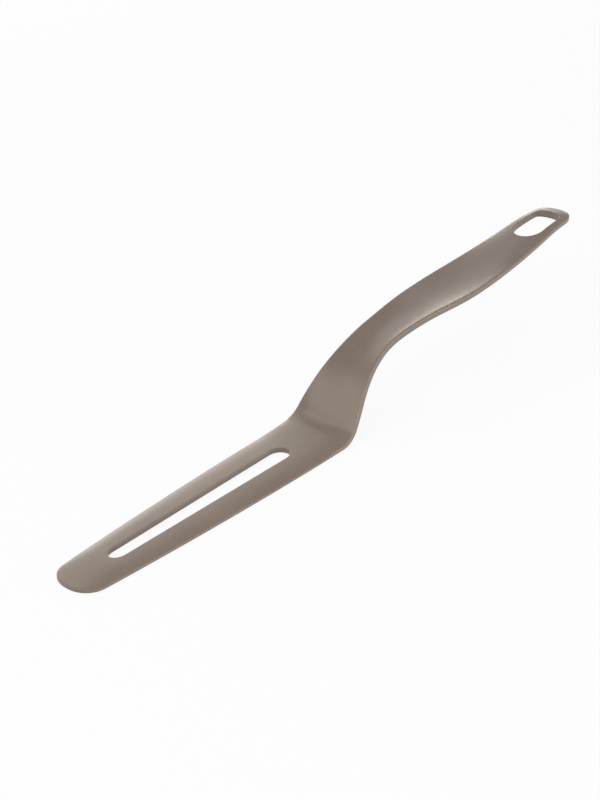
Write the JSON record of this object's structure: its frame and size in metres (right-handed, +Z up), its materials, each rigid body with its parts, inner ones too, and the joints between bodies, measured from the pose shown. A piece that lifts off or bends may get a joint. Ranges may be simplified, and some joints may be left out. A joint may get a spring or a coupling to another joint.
{
  "type": "pancake spatula",
  "caption": "Moulded pancake spatula: long tapered slotted blade, cranked neck and dished handle with a hanging eye, for loosening and turning thin pancakes.",
  "frame": {"origin": "on the flat underside of the blade, on its centre line, midway between the slot and the heel", "axes": "+X along the spatula from the blade's tip towards the handle's end, +Y across it, +Z up off the blade"},
  "size_m": [0.3099, 0.0306, 0.0421],
  "materials": {
    "nylon": "satin moulded"
  },
  "bodies": {
    "root": {"spatula_moulding": "nylon"}
  },
  "joints": []
}
